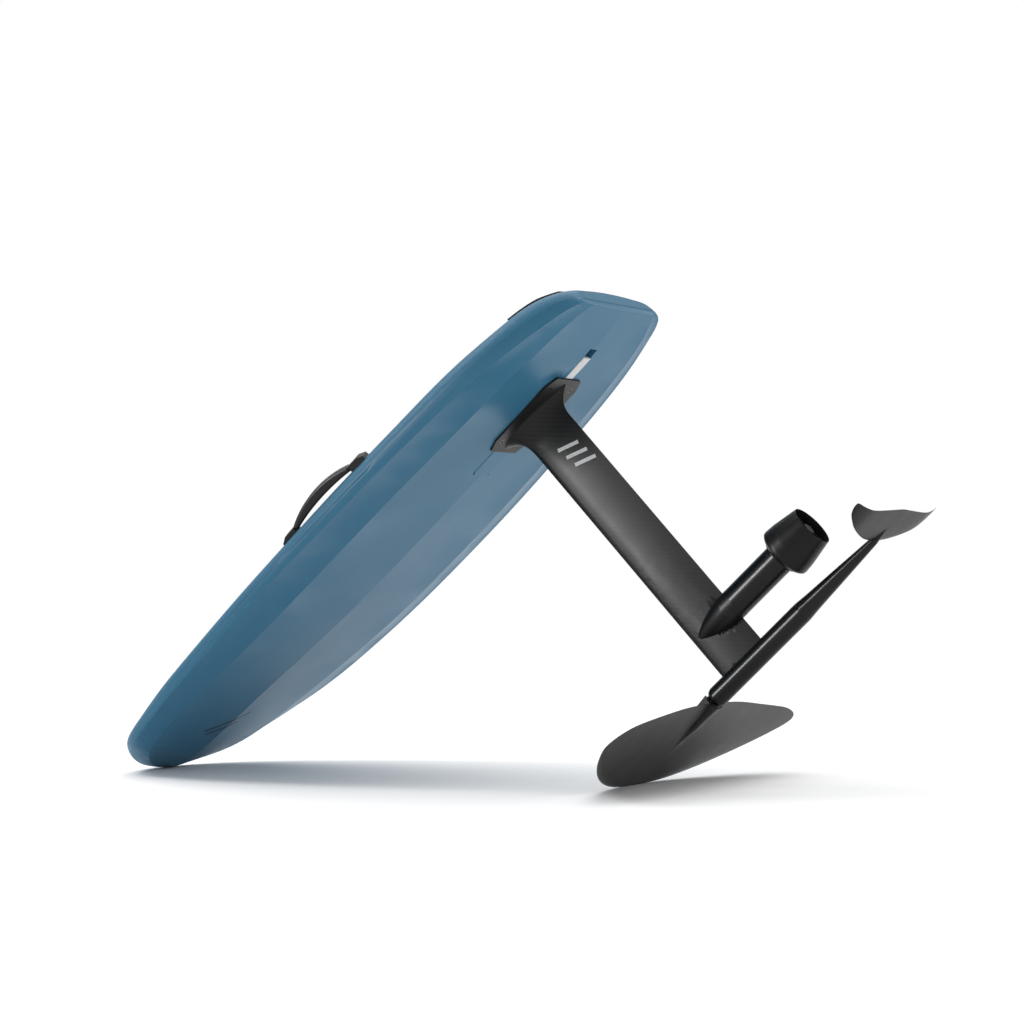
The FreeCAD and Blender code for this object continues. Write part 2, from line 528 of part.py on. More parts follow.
prop_front, prop_rear, hub_r = size("prop_front"), size("prop_rear"), size("hub_r")
hub = bar(hub_r, prop_rear - prop_front, prop_front, 0, 0)
blade_sections = []
for radius, twist, chord in ((hub_r - 2, 52, 18), (22, 40, 25), (30, 31, 26), (size("blade_r"), 25, 17)):
    lean = math.radians(twist)
    along = Vector(math.sin(lean), math.cos(lean), 0)
    across = Vector(along.y, -along.x, 0)
    centre = Vector((prop_front + prop_rear) / 2, 0, radius)
    row = [centre + along * (chord * u) + across * (1.1 * v)
           for u, v in ((-0.5, 0), (-0.2, 1.1), (0.2, 1), (0.5, 0), (0.2, -0.6), (-0.2, -0.6))]
    blade_sections.append(Part.makePolygon(row + row[:1]))
one_blade = Part.makeLoft(blade_sections, True, True)
blades = [one_blade.rotated(Vector(), Vector(1, 0, 0), 120 * i) for i in range(3)]
propeller = hub.fuse(blades).cut(bar(size("shaft_r"), 80, prop_front - 10, 0, 0)).translated(Vector(0, 0, pod_z))
formed("propeller", propeller.removeSplitter())
turned("propeller_nut", "pod_z", [("prop_rear + 2.05", "0"), ("prop_rear + 2.05", "shaft_r + 0.05"),
                                  ("prop_rear + 0.1", "shaft_r + 0.05"), ("prop_rear + 0.1", "9"),
                                  ("prop_rear + 3.4", "8.5"), ("prop_rear + 3.4", "0")])

turned("duct_shroud", "pod_z",
       [("duct_front", "intake_r"), ("duct_front", "intake_r + 1.5"), ("duct_front + 2", "intake_r + 1.5"),
        ("duct_front + 3", "intake_r + 5"), ("duct_front + 7", "duct_max - 5"), ("duct_wide - 1", "duct_max - 0.7"),
        ("duct_wide + 3", "duct_max"), ("duct_wide + 22", "duct_max - 1.6"), ("duct_wide + 46", "duct_lip + 4.4"),
        ("duct_rear", "duct_lip"), ("duct_rear", "duct_lip - 1"), ("duct_rear - 20", "duct_lip - 2.2"),
        ("prop_rear", "duct_lip - 2.6"), ("prop_front - 2", "duct_lip - 2.6"), ("duct_front + 6", "intake_r + 1")])
turned("duct_collar", "pod_z", [("duct_front - 1", "pod_r + 0.05"), ("duct_front - 1", "pod_r + 2"),
                                ("tube_end", "pod_r + 2"), ("tube_end", "pod_r + 0.05")])
struts = []
for i in range(4):
    fin = cuboid(size("duct_front") + 8, size("tube_end") - 1, -1.1, 1.1, pod_r + 2.05, size("intake_r") + 1.2)
    struts.append(fin.rotated(Vector(), Vector(1, 0, 0), 45 + 90 * i).translated(Vector(0, 0, pod_z)))
formed("duct_struts", Part.makeCompound(struts))
vane_front, vane_rear = size("vane_front"), size("vane_rear")
vane_length = vane_rear - vane_front
cone = bar(hub_r - 1, vane_length, vane_front, 0, 0)
vanes = []
for i in range(5):
    vane = cuboid(vane_front + 2, vane_rear - 2, -0.9, 0.9, hub_r - 2, size("duct_lip") - 2.75)
    vanes.append(vane.rotated(Vector(), Vector(1, 0, 0), 72 * i))
formed("outlet_vanes", cone.fuse(vanes).translated(Vector(0, 0, pod_z)).removeSplitter())
collar_screws = []
for i in range(3):
    head = Part.makeCylinder(2.4, 2.2, Vector(size("duct_front") - 9, 0, pod_r - 2.0), Vector(0, 0, 1))
    collar_screws.append(head.rotated(Vector(), Vector(1, 0, 0), 60 + 120 * i).translated(Vector(0, 0, pod_z)))
screw_heads = Part.makeCompound(collar_screws)
formed("housing_screws", screw_heads)

# ---- Fuselage: front tube, tail boom ----
turned("fuselage", "fuse_z", [("fuse_front + 10", "0"), ("fuse_front", "0"), ("fuse_front + 0.6", "8"),
                              ("fuse_front + 3", "14"), ("fuse_front + 8", "18"), ("fuse_front + 14", "fuse_r"),
                              ("fuse_seam - 0.1", "fuse_r"), ("fuse_seam - 0.1", "0")])
turned("tail_boom", "fuse_z", [("fuse_seam + 0.1", "0"), ("fuse_seam + 0.1", "fuse_r"),
                               ("fuse_seam + 30", "fuse_r - 2.6"), ("fuse_seam + 95", "boom_r + 3.8"),
                               ("boom_end - 40", "boom_r - 2"), ("boom_end", "0")])

# ---- Wings ----
def wing_wire(y, lead, trail, z, thick_share, camber):
    chord = trail - lead
    half = foil_outline(chord, chord * thick_share, 7)
    top = [(lead + u, y, z + v * (1 + camber)) for u, v in half]
    bottom = [(lead + u, y, z - v * (1 - camber)) for u, v in reversed(half[1:])]
    return Part.Wire([spline(bottom + top), edge(top[-1], bottom[0])])


def wing(lead, trail, height, thick_share, camber, shares, half_span):
    rows = sorted([-half_span * s for s in shares if s] + [half_span * s for s in shares])
    wires = [wing_wire(y, lead(abs(y)), trail(abs(y)), height(abs(y)), thick_share, camber) for y in rows]
    return Part.makeLoft(wires, True, False)


front_half, tail_half = size("front_span / 2"), size("tail_span / 2")
front_lead = ramp([0, 45, 75, 150, 225, 300, 350, 385, 397, front_half],
                  [-319, -318.6, -316, -301, -270, -230, -195, -165, -150, -143])
front_trail = ramp([0, 100, 200, 300, 350, 385, 397, front_half], [-93, -95, -102, -108, -113, -124, -133, -139])
front_z = size("fuse_z") - 5.5
front_wing = wing(front_lead, front_trail, lambda y: front_z - size("front_drop") * (y / front_half) ** 2, 0.095, 0.35,
                  (0, 0.1, 0.28, 0.5, 0.72, 0.87, 0.95, 0.985, 1), front_half)
spine_rows = []
for x, half, drop, lift in ((-92, 18.5, 18.5, 13), (-150, 13.5, 16, 8), (-215, 7.5, 11, 4), (-283, 0.8, 5.5, 0)):
    low, high = size("fuse_z") - drop, size("fuse_z") + lift
    row = [(x, -half, high), (x, -half, low + half * 0.35), (x, -half * 0.6, low), (x, half * 0.6, low),
           (x, half, low + half * 0.35), (x, half, high)]
    spine_rows.append(Part.makePolygon([Vector(*p) for p in row + row[:1]]))
spine = Part.makeLoft(spine_rows, True, True)
fuselage_room = bar(size("fuse_r") + 0.2, 80, size("fuse_front") - 0.3, 0, size("fuse_z"))
formed("front_wing", front_wing.fuse(spine).cut(fuselage_room).removeSplitter())
tail_lead = ramp([0, 40, 85, 130, 165, 185, 194, tail_half], [330, 332, 341, 354, 369, 382, 391, 400])
tail_trail = ramp([0, 60, 130, 175, 190, tail_half], [409, 406, 403, 406, 408, 407])
tail_z = size("fuse_z") + 2


def tail_height(y):
    return tail_z + size("tail_rise") * (max(y - 110, 0) / 88) ** 2


tail_wing = wing(tail_lead, tail_trail, tail_height, 0.085, 0, (0, 0.25, 0.5, 0.66, 0.8, 0.9, 0.965, 1), tail_half)
boom = pieces["tail_boom"][0]
doc.recompute()
boom_shape = boom.Shape.translated(Vector(0, 0, size("fuse_z")))
formed("tail_wing", tail_wing.cut(boom_shape))


def cap_screws(spots, radius, length, upward):
    """Socket screws along Z; each spot is the middle of its head's outer face."""
    made = []
    way = Vector(0, 0, 1 if upward else -1)
    for spot in spots:
        start = Vector(*spot)
        head = Part.makeCylinder(radius * 1.7, radius * 1.2, start, way)
        shank = Part.makeCylinder(radius, length, start, way)
        made.append(head.fuse(shank).cut(Part.makeCylinder(radius * 0.8, radius, start - way * 0.01, way)))
    return Part.makeCompound(made)


def bored(label, tools):
    """Cut the seats of other pieces out of a finished piece."""
    blank, at = pieces.pop(label)
    blank.Placement = at
    blank.Label = label + "_blank"
    seats = doc.addObject("Part::Feature", label + "_seats")
    seats.Shape = Part.makeCompound(tools)
    cut = doc.addObject("Part::Cut", label + "_cut")
    cut.Base, cut.Tool = blank, seats
    return keep(label, cut)


# Screws that hold the foil together, and the tongue that carries the front wing.
fuse_z, fuse_r = size("fuse_z"), size("fuse_r")
mast_foot = Part.Face(foil_wire(mast_x - mast_chord / 2 - 0.2, mast_chord + 0.4, mast_thick + 0.4, fuse_top - 8.2))
mast_foot = mast_foot.extrude(Vector(0, 0, 40))
mast_bolts = cap_screws([(x, 0, fuse_z - fuse_r + 1) for x in (-26, mast_x + 4, 34)], 2.5, 46, True)
wing_bolts = cap_screws([(-125, 0, fuse_z - 16.8), (-180, 0, fuse_z - 13)], 2.5, 16, True)
tail_spots = [(337, 0, tail_z + 3), (348, 0, tail_z + 3)]
tail_bolts = cap_screws(tail_spots, 1.6, 6, False)
head_rooms = Part.makeCompound([drum(2.75, 8, x, y, z - 1.92) for x, y, z in tail_spots])
tongue = cuboid(-205, -50, -6, 6, fuse_z - 3, fuse_z + 4)
tongue_room = cuboid(-205.1, -50, -6.1, 6.1, fuse_z - 3.1, fuse_z + 4.1)
formed("mast_bolts", mast_bolts)
formed("front_wing_bolts", wing_bolts)
formed("tail_wing_bolts", tail_bolts)
formed("wing_tongue", tongue.cut(wing_bolts))
bored("fuselage", [mast_foot, mast_bolts, tongue_room])
bored("mast_blade", [mast_bolts])
bored("front_wing", [tongue_room, wing_bolts])
bored("tail_wing", [tail_bolts])
bored("tail_boom", [tail_bolts, head_rooms])
bored("motor_housing", [screw_heads])

# ---- Rest pose: nose and front wing on the floor, origin under the middle of the craft ----
doc.recompute()


def surface_points(*labels):
    return [p for label in labels for p in pieces[label][0].Shape.tessellate(0.2)[0]]


def lowest(points, pitch):
    slant = math.radians(pitch)
    return min(p.x * math.sin(slant) + p.z * math.cos(slant) for p in points)


nose_points, wing_points = surface_points("board_hull", "board_deck"), surface_points("front_wing")
shallow, steep = 35.0, 55.0
for _ in range(40):
    pitch = (shallow + steep) / 2
    if lowest(nose_points, pitch) > lowest(wing_points, pitch):
        shallow = pitch
    else:
        steep = pitch
tilt = Rotation(Vector(0, 1, 0), -pitch)
outer = [tilt.multVec(p) for p in nose_points + wing_points + surface_points("tail_wing", "tail_kick_pad")]
middle_x = (min(p.x for p in outer) + max(p.x for p in outer)) / 2
rest = Placement(Vector(-middle_x, 0, -lowest(nose_points + wing_points, pitch)), tilt)
for thing, at in pieces.values():
    thing.Placement = rest.multiply(at)
doc.recompute()

os.makedirs("parts", exist_ok=True)
for thing in doc.Objects:
    if {"Invalid", "Error"} & set(thing.State):
        raise RuntimeError("%s failed: %s" % (thing.Label, thing.State))
for label, (thing, at) in pieces.items():
    if thing.Shape.isNull() or not thing.Shape.isValid() or not thing.Shape.Solids:
        raise RuntimeError("%s has no valid solid" % label)
for label, (thing, at) in pieces.items():
    thing.Shape.exportStep(os.path.join("parts", label + ".step"))
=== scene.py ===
import json
import math
import bmesh
import bpy
from mathutils import Euler, Matrix, Vector


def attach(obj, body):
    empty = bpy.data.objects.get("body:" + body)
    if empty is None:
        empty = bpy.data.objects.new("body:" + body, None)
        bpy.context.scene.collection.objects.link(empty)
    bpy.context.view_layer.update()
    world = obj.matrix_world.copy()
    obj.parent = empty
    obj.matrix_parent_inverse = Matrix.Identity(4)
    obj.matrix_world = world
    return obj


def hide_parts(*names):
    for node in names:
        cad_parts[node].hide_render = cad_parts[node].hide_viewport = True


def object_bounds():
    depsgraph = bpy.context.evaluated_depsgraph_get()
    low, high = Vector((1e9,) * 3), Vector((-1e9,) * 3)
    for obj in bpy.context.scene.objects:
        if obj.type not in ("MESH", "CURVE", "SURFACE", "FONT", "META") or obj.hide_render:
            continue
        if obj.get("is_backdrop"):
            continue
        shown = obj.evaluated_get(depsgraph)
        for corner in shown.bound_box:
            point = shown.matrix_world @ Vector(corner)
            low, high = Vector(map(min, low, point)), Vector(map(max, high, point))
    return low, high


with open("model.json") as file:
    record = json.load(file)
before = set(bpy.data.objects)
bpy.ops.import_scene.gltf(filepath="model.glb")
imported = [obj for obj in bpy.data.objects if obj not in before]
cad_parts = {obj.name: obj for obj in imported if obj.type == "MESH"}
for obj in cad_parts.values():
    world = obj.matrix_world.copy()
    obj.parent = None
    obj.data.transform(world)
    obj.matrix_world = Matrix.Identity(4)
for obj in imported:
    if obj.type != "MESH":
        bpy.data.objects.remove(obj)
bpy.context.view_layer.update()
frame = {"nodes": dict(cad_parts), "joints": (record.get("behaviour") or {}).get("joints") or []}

# ---- Board hull ----
# The lower half of the board: a foam core under a painted composite skin, moulded in long flat facets that
# meet in crisp chines, with two thin bars printed near the nose. Sizes are in the board's own axes, X to
# the tail and Z to the deck, with the mast plate at the origin; lie turns them into the frame's axes.
scene = bpy.context.scene
joints = {joint["name"]: joint for joint in frame["joints"]}
aft = Vector(joints["propeller_spin"]["axis"]).normalized()
up = Vector(joints["latch_left_turn"]["axis"]).normalized()
lie = Matrix((aft, up.cross(aft), up)).transposed().to_4x4()
propeller_aft, propeller_below = 0.065, 0.5425
lie.translation = Vector(joints["propeller_spin"]["pos_m"]) - aft * propeller_aft + up * propeller_below


def deselect():
    """Leave any edit, and select nothing."""
    if bpy.context.mode != "OBJECT":
        bpy.ops.object.mode_set(mode="OBJECT")
    bpy.ops.object.select_all(action="DESELECT")


def choose(piece):
    """Make this the only selected piece."""
    deselect()
    piece.select_set(True)
    bpy.context.view_layer.objects.active = piece


def welded(name, cad):
    """A copy of a CAD node in the board's axes, with its loose triangles joined."""
    merge, sliver = 0.00002, 0.00001
    piece = bpy.data.objects.new(name, frame["nodes"][cad].data.copy())
    scene.collection.objects.link(piece)
    piece.data.transform(lie.inverted())
    choose(piece)
    bpy.ops.object.mode_set(mode="EDIT")
    bpy.ops.mesh.select_all(action="SELECT")
    bpy.ops.mesh.remove_doubles(threshold=merge)
    bpy.ops.mesh.dissolve_degenerate(threshold=sliver)
    bpy.ops.object.mode_set(mode="OBJECT")
    return piece


def fix(piece, material, body, nodes, crisp=30, even=True):
    """Shade the piece, smoothly past its narrow faces if even, finish it and set it in its place."""
    choose(piece)
    piece.data.transform(lie)
    bpy.ops.object.shade_smooth_by_angle(angle=math.radians(crisp))
    if even:
        bpy.ops.object.modifier_add(type="WEIGHTED_NORMAL")
        piece.modifiers[-1].keep_sharp = True
        bpy.ops.object.modifier_apply(modifier=piece.modifiers[-1].name)
    piece.data.materials.clear()
    piece.data.materials.append(material)
    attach(piece, body)
    if nodes:
        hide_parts(*nodes)
    return piece


def surface(material, key):
    """One of the finish's own values."""
    return material.node_tree.nodes["Principled BSDF"].inputs[key]


def finish(name, colour, rough, metal=0.0, specular=0.3):
    """An even finish, to which mottle, wear and grain add their patterns."""
    material = bpy.data.materials.new(name)
    material.use_nodes = True
    surface(material, "Base Color").default_value = (*colour, 1)
    surface(material, "Roughness").default_value = rough
    surface(material, "Metallic").default_value = metal
    surface(material, "Specular IOR Level").default_value = specular
    return material


def node(material, kind, **settings):
    """A new node of a material or of the room."""
    made = material.node_tree.nodes.new("ShaderNode" + kind)
    for key, value in settings.items():
        setattr(made, key, value)
    return made


def link(material, out, into):
    """Join one node's output to another's input."""
    material.node_tree.links.new(out, into)


def axes(material, stretch=(1, 1, 1)):
    """The board's axes in metres, each stretched, from the piece's own coordinates."""
    place, turn, pull = node(material, "TexCoord"), node(material, "Mapping"), node(material, "Mapping")
    level = lie.inverted()
    turn.inputs["Location"].default_value = level.translation
    turn.inputs["Rotation"].default_value = level.to_euler()
    pull.inputs["Scale"].default_value = stretch
    link(material, place.outputs["Object"], turn.inputs["Vector"])
    link(material, turn.outputs["Vector"], pull.inputs["Vector"])
    return pull.outputs["Vector"]


def noise(material, scale, detail=3, stretch=(1, 1, 1)):
    """A soft random pattern, scale features to the metre."""
    cloud = node(material, "TexNoise")
    cloud.inputs["Scale"].default_value = scale
    cloud.inputs["Detail"].default_value = detail
    link(material, axes(material, stretch), cloud.inputs["Vector"])
    return cloud.outputs["Fac"]


def grain(material, value, height, strength):
    """Raise the surface by a pattern, height in metres."""
    relief = node(material, "Bump")
    relief.inputs["Distance"].default_value = height
    relief.inputs["Strength"].default_value = strength
    link(material, value, relief.inputs["Height"])
    link(material, relief.outputs["Normal"], surface(material, "Normal"))


def mottle(material, value, first, second):
    """Let the colour wander between two tones."""
    blend = node(material, "Mix", data_type="RGBA")
    factor, one, other = blend.inputs[0], blend.inputs[6], blend.inputs[7]
    one.default_value, other.default_value = (*first, 1), (*second, 1)
    link(material, value, factor)
    link(material, blend.outputs[2], surface(material, "Base Color"))


def wear(material, value, low, high):
    """Let the roughness wander from low to high, as the pattern goes through its middle range."""
    spread = node(material, "MapRange")
    for key, number in (("From Min", 0.3), ("From Max", 0.7), ("To Min", low), ("To Max", high)):
        spread.inputs[key].default_value = number
    link(material, value, spread.inputs["Value"])
    link(material, spread.outputs["Result"], surface(material, "Roughness"))


lacquer = finish("blue_lacquer", (0.035, 0.145, 0.245), 0.40, specular=0.2)
mottle(lacquer, noise(lacquer, 3.0), (0.032, 0.138, 0.236), (0.038, 0.152, 0.252))
wear(lacquer, noise(lacquer, 9, 5), 0.38, 0.42)
grain(lacquer, noise(lacquer, 420, 2), 0.0002, 0.12)


def laid_bar(name, onto, middle, size, way, slant):
    """A thin printed bar, laid on a piece from its left if way is 1, or from below it if way is 2."""
    proud, film, cells = 0.00012, 0.00016, (16, 6)
    facing = Matrix.Rotation(math.pi / 2 if way == 1 else math.pi, 4, "X")
    deselect()
    bpy.ops.mesh.primitive_grid_add(x_subdivisions=cells[0], y_subdivisions=cells[1], size=1)
    bar = bpy.context.object
    bar.name = name
    bar.data.transform(Matrix.Translation(middle) @ facing @ Matrix.Rotation(slant, 4, "Z")
                       @ Matrix.Diagonal((*size, 1, 1)))
    bpy.ops.object.modifier_add(type="SHRINKWRAP")
    wrap = bar.modifiers[-1]
    wrap.target, wrap.wrap_method, wrap.offset = onto, "PROJECT", proud
    wrap.use_project_x, wrap.use_project_y, wrap.use_project_z = False, way == 1, way == 2
    wrap.use_positive_direction, wrap.use_negative_direction = True, False
    bpy.ops.object.modifier_apply(modifier=wrap.name)
    bpy.ops.object.modifier_add(type="SOLIDIFY")
    wall = bar.modifiers[-1]
    wall.thickness, wall.offset = film, -1
    bpy.ops.object.modifier_apply(modifier=wall.name)
    return bar


hull = welded("hull_skin", "board_hull")
ink = finish("dark_film", (0.010, 0.014, 0.020), 0.4, specular=0.2)
mottle(ink, noise(ink, 80, 3), (0.008, 0.012, 0.018), (0.012, 0.016, 0.022))
mark_spots, mark_lengths = ((-0.930, -0.012, -0.2), (-0.910, -0.012, -0.2)), (0.075, 0.110)
mark_width, mark_slant = 0.005, math.radians(-58)
marks = [laid_bar("hull_bar_%d" % (i + 1), hull, mark_spots[i], (mark_lengths[i], mark_width), 2, mark_slant)
         for i in range(2)]
fix(hull, lacquer, "root", ["board_hull"], crisp=50, even=False)
for mark in marks:
    fix(mark, ink, "root", [], even=False)
downward, bottom_bend, side_bend = -0.8, math.radians(1.6), math.radians(8)
facets = bmesh.new()
facets.from_mesh(hull.data)
for seam in facets.edges:
    if len(seam.link_faces) == 2:
        below = [face.normal.dot(up) < downward for face in seam.link_faces]
        if any(below) and seam.calc_face_angle(0) > (bottom_bend if all(below) else side_bend):
            seam.smooth = False
facets.to_mesh(hull.data)
facets.free()

# ---- Board deck ----
# The upper half, bonded to the hull along the widest line and painted with it. Its rounded rail runs
# into the nearly flat deck, which has the battery bay, the latch pockets and the seats of the fittings.
fix(welded("deck_skin", "board_deck"), lacquer, "root", ["board_deck"], crisp=24)

# ---- Battery bay ----
# A sealed pack of cells in a ribbed moulded case with a loop to lift it by, the motor controller under a
# finned cover, and the plug between them. All of it lifts out once the hatch is open.
case = finish("moulded_case", (0.022, 0.023, 0.025), 0.5)
mottle(case, noise(case, 60), (0.019, 0.020, 0.022), (0.026, 0.027, 0.029))
grain(case, noise(case, 1400, 2), 0.0002, 0.3)


def soften(piece, width, angle=32, segments=2):
    """Round the piece's sharp edges."""
    choose(piece)
    bpy.ops.object.modifier_add(type="BEVEL")
    rounding = piece.modifiers[-1]
    rounding.width, rounding.segments = width, segments
    rounding.limit_method, rounding.angle_limit = "ANGLE", math.radians(angle)
    bpy.ops.object.modifier_apply(modifier=rounding.name)


def cut_lines(piece, axis, spots):
    """Cut the piece's faces across one of the board's axes at each spot."""
    choose(piece)
    bpy.ops.object.mode_set(mode="EDIT")
    across = Vector([float(i == axis) for i in range(3)])
    for spot in spots:
        bpy.ops.mesh.select_all(action="SELECT")
        bpy.ops.mesh.bisect(plane_co=across * spot, plane_no=across)
    bpy.ops.mesh.select_all(action="DESELECT")
    bpy.ops.object.mode_set(mode="OBJECT")


def press(piece, depth, wanted):
    """Sink the upward faces that are wanted, by their middle in the board's axes."""
    upward = 0.6
    choose(piece)
    bpy.ops.object.mode_set(mode="EDIT")
    bpy.ops.mesh.select_mode(type="FACE")
    sculpt = bmesh.from_edit_mesh(piece.data)
    for face in sculpt.faces:
        face.select_set(face.normal.z > upward and wanted(face.calc_center_median()))
    bmesh.update_edit_mesh(piece.data)
    bpy.ops.mesh.extrude_region_move(TRANSFORM_OT_translate={"value": (0, 0, -depth)})
    bpy.ops.object.mode_set(mode="OBJECT")


def grooved(piece, axis, low, high, pitch, width, depth):
    """Press evenly spaced grooves into the piece's upper side, between two places on an axis."""
    count = int((high - low) / pitch)
    middles = [low + (i + 0.5) * (high - low) / count for i in range(count)]
    cut_lines(piece, axis, [m + s * width / 2 for m in middles for s in (-1, 1)])
    press(piece, depth, lambda c: any(abs(c[axis] - m) < width / 2 for m in middles))


for name, cad, edge, segments, reach, pitch, width, depth in (
        ("cell_pack", "battery_pack", 0.005, 4, 0.12, 0.03, 0.012, 0.0015),
        ("controller_case", "motor_controller", 0.002, 2, 0.088, 0.008, 0.003, 0.006),
        ("pack_plug", "power_connector", 0.0025, 3, 0.014, 0.004, 0.0014, 0.0007)):
    box = welded(name, cad)
    soften(box, edge, segments=segments)
    grooved(box, 1, -reach, reach, pitch, width, depth)
    fix(box, case, "root", [cad])

# ---- Pack's lifting loop ----
# A flat rubber loop pinned to the pack's top, rounded where the fingers go.
rubber = finish("black_rubber", (0.018, 0.018, 0.019), 0.55)
mottle(rubber, noise(rubber, 40), (0.016, 0.016, 0.017), (0.022, 0.022, 0.023))
wear(rubber, noise(rubber, 90), 0.46, 0.60)
grain(rubber, noise(rubber, 900, 2), 0.0002, 0.25)


def rounded(name, cad, width, material, body="root", **edges):
    """A CAD node with its edges rounded, finished and set in its place."""
    piece = welded(name, cad)
    soften(piece, width, **edges)
    return fix(piece, material, body, [cad])


rounded("pack_loop", "battery_handle", 0.0015, rubber, segments=3)

# ---- Hatch ----
# A lid moulded to the deck's curve, which lies on a rubber seal and swings up at its front edge on two
# steel hinge leaves and a pin. Two quarter-turn knobs send their tongues under the deck behind it.
fix(welded("hatch_skin", "hatch_lid"), lacquer, "hatch", ["hatch_lid"], crisp=24)
fix(welded("hatch_gasket", "hatch_seal"), rubber, "root", ["hatch_seal"])
steel = finish("satin_steel", (0.50, 0.50, 0.51), 0.32, metal=1.0)
mottle(steel, noise(steel, 70, 4, (1, 6, 1)), (0.44, 0.44, 0.45), (0.55, 0.55, 0.56))
wear(steel, noise(steel, 300, 4, (1, 8, 1)), 0.24, 0.42)
for name, cad, body in (("lid_leaf", "hatch_hinge_leaf", "hatch"), ("deck_leaf", "deck_hinge_leaf", "root"),
                        ("hinge_rod", "hatch_hinge_pin", "root")):
    rounded(name, cad, 0.0003, steel, body)
for side in ("left", "right"):
    rounded(side + "_knob", "latch_" + side, 0.0007, case, "latch_" + side, segments=3)

# ---- Deck pads ----
# Sheets of closed-cell foam bonded to the deck and the hatch, milled with fine grooves for grip. The pad
# at the tail rises to a block that the rear foot pushes against.
foam = finish("grip_foam", (0.020, 0.020, 0.021), 0.88, specular=0.2)
mottle(foam, noise(foam, 180, 4), (0.015, 0.015, 0.016), (0.030, 0.030, 0.032))
wear(foam, noise(foam, 25), 0.80, 0.95)
grain(foam, noise(foam, 1600, 3), 0.0004, 0.55)
plain_rim = 0.006
for name, cad, body, axis, pitch, width, depth in (
        ("hatch_foam", "hatch_pad", "hatch", 1, 0.016, 0.0022, 0.0016),
        ("front_foam", "deck_pad_front", "root", 1, 0.016, 0.0022, 0.0016),
        ("rear_foam", "deck_pad_rear", "root", 0, 0.014, 0.0024, 0.0018),
        ("left_foam", "deck_pad_left", "root", 1, 0.014, 0.0022, 0.0016),
        ("right_foam", "deck_pad_right", "root", 1, 0.014, 0.0022, 0.0016),
        ("tail_foam", "tail_kick_pad", "root", 0, 0.012, 0.0030, 0.0025)):
    pad = welded(name, cad)
    low = min(v.co[axis] for v in pad.data.vertices) + plain_rim
    high = max(v.co[axis] for v in pad.data.vertices) - plain_rim
    grooved(pad, axis, low, high, pitch, width, depth)
    fix(pad, foam, body, [cad], crisp=35)

# ---- Carry handles ----
# A thick strap in a black moulded sleeve arches over each rail, held at both ends by a screwed foot with
# rounded corners.
sleeve = finish("strap_sleeve", (0.006, 0.006, 0.006), 0.34, specular=0.25)
mottle(sleeve, noise(sleeve, 35), (0.005, 0.005, 0.005), (0.008, 0.008, 0.008))
grain(sleeve, noise(sleeve, 700, 2), 0.0002, 0.2)
for side in ("left", "right"):
    strap = welded(side + "_strap", "carry_handle_" + side)
    soften(strap, 0.0045, angle=50, segments=5)
    fix(strap, sleeve, "root", ["carry_handle_" + side], crisp=40)
rounded("strap_feet", "handle_anchors", 0.0018, sleeve, angle=40, segments=3)
rounded("foot_screws", "handle_screws", 0.0004, steel)

# ---- Deck fittings ----
# Brass bushes for the footstraps' screws, a moulded cup with a steel bar for the leash, and the vent's
# slotted plug.
brass = finish("turned_brass", (0.60, 0.43, 0.20), 0.32, metal=1.0)
mottle(brass, noise(brass, 120, 3), (0.55, 0.39, 0.18), (0.66, 0.48, 0.23))
wear(brass, noise(brass, 500, 3), 0.26, 0.42)
for name, cad, material in (("strap_bushes", "strap_inserts", brass), ("leash_well", "leash_cup", case),
                            ("leash_rod", "leash_bar", steel), ("vent_screw", "vent_plug", case)):
    rounded(name, cad, 0.0003, material)

# ---- Mast plate ----
# A black anodised alloy plate let into the hull, held by four socket screws in brass bushes. Behind it
# the open slot has a pale moulded insert, and ahead of it a painted panel fills the slot's other end.
anodised = finish("black_anodised", (0.014, 0.014, 0.014), 0.42, specular=0.2)
mottle(anodised, noise(anodised, 90, 3), (0.012, 0.012, 0.012), (0.016, 0.016, 0.016))
wear(anodised, noise(anodised, 260, 4, (6, 1, 1)), 0.36, 0.50)
grain(anodised, noise(anodised, 1500, 2), 0.0001, 0.15)
rounded("root_plate", "mast_plate", 0.0008, anodised, segments=3)
blackened = finish("blackened_steel", (0.045, 0.045, 0.047), 0.35, metal=0.9)
mottle(blackened, noise(blackened, 200, 3), (0.038, 0.038, 0.040), (0.055, 0.055, 0.057))
wear(blackened, noise(blackened, 600, 3), 0.28, 0.45)
rounded("root_screws", "plate_screws", 0.0004, blackened)
fix(welded("root_bushes", "mast_inserts"), brass, "root", ["mast_inserts"])
pale = finish("pale_moulding", (0.60, 0.60, 0.60), 0.45)
mottle(pale, noise(pale, 50, 3), (0.55, 0.55, 0.55), (0.66, 0.66, 0.65))
grain(pale, noise(pale, 900, 2), 0.0002, 0.2)
rounded("slot_strip", "slot_insert", 0.0008, pale, segments=3)
rounded("slot_panel", "slot_filler", 0.0006, lacquer)

